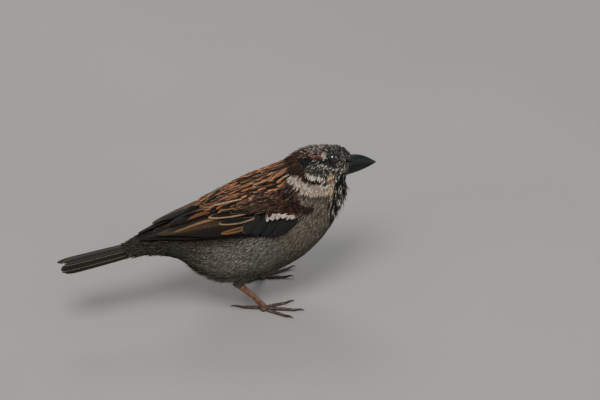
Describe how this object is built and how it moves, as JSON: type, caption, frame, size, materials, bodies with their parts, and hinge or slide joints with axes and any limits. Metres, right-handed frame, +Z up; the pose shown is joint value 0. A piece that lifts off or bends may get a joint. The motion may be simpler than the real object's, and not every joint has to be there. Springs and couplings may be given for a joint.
{
  "type": "house sparrow",
  "caption": "Life-size male house sparrow standing with wings folded, tail held level and head up, as a still museum-style model.",
  "frame": {"origin": "on the ground under the middle of the box round the whole bird", "axes": "+X forwards along the bird towards the bill, +Y to its left, +Z up"},
  "size_m": [0.1494, 0.0494, 0.0725],
  "materials": {
    "crown": "grey-brown and black short feathers, matt",
    "breast_feathers": "grey-buff contour feathers, matt",
    "rump_feathers": "grey-brown contour feathers, matt",
    "wing_feathers": "black-brown feathers with rufous edges, satin",
    "tail_feathers": "dark brown feathers with thin buff edges, satin",
    "bill_horn": "blue-black horn, satin",
    "eye": "very dark brown, glossy",
    "leg_scales": "pinkish-brown scaled skin, satin",
    "claw_horn": "dark horn, satin"
  },
  "bodies": {
    "root": {"head": "crown", "neck": "breast_feathers", "trunk": "breast_feathers", "rump": "rump_feathers", "wing_left": "wing_feathers", "wing_right": "wing_feathers", "tail": "tail_feathers", "bill_upper": "bill_horn", "bill_lower": "bill_horn", "eye_left": "eye", "eye_right": "eye", "thigh_left": "breast_feathers", "shank_left": "leg_scales", "toe_inner_left": "leg_scales", "claw_inner_left": "claw_horn", "toe_middle_left": "leg_scales", "claw_middle_left": "claw_horn", "toe_outer_left": "leg_scales", "claw_outer_left": "claw_horn", "toe_hind_left": "leg_scales", "claw_hind_left": "claw_horn", "thigh_right": "breast_feathers", "shank_right": "leg_scales", "toe_inner_right": "leg_scales", "claw_inner_right": "claw_horn", "toe_middle_right": "leg_scales", "claw_middle_right": "claw_horn", "toe_outer_right": "leg_scales", "claw_outer_right": "claw_horn", "toe_hind_right": "leg_scales", "claw_hind_right": "claw_horn"}
  },
  "joints": []
}
